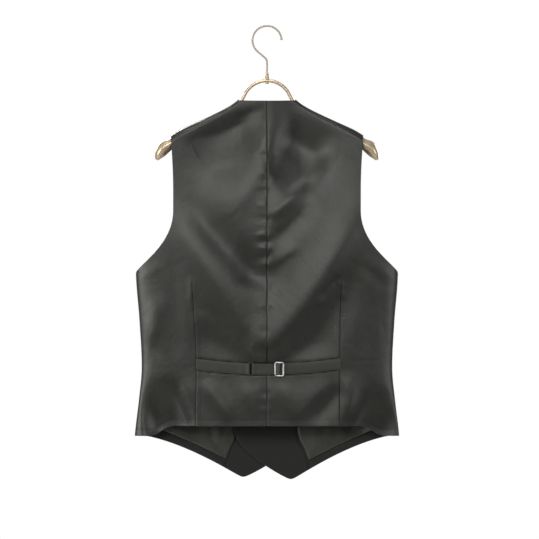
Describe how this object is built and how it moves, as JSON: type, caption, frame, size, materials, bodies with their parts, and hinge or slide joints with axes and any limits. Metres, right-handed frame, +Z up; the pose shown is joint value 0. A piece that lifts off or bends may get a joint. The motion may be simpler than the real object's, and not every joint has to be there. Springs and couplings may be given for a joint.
{
  "type": "double-breasted suit waistcoat on a shaped hanger",
  "caption": "Dark suit waistcoat with a satin back, waist straps and a sliding buckle, hanging open and hollow on a contoured gold hanger with a wire hook.",
  "frame": {"origin": "inside the top of the hanger's hook, where a rail bears", "axes": "+Z up, +X to the wearer's left, -Y to the wearer's front"},
  "size_m": [0.4768, 0.0875, 0.8225],
  "materials": {
    "back_satin": "charcoal satin, soft broad sheen",
    "lining_satin": "charcoal satin lining, soft sheen",
    "front_wool": "dark worsted wool, matt",
    "ring_metal": "dark satin coating",
    "buckle_metal": "bright nickel",
    "button": "dark horn-like, low gloss",
    "hanger_gold": "pale gold metallic coating, soft gloss",
    "hook_metal": "pale gold plated wire"
  },
  "bodies": {
    "root": {"back_left": "back_satin", "back_right": "back_satin", "button_1": "button", "button_2": "button", "button_3": "button", "button_4": "button", "button_5": "button", "button_6": "button", "facing_left": "front_wool", "facing_right": "front_wool", "front_left": "front_wool", "front_right": "front_wool", "hanger_bar": "hanger_gold", "hanger_ferrule": "hanger_gold", "hanger_hook": "hook_metal", "hanger_nut": "hanger_gold", "hem_band_left": "front_wool", "hem_band_right": "front_wool", "lining_left": "lining_satin", "lining_right": "lining_satin", "strap_buckle": "buckle_metal", "strap_left": "back_satin", "strap_right": "back_satin", "strap_ring": "ring_metal"}
  },
  "joints": []
}
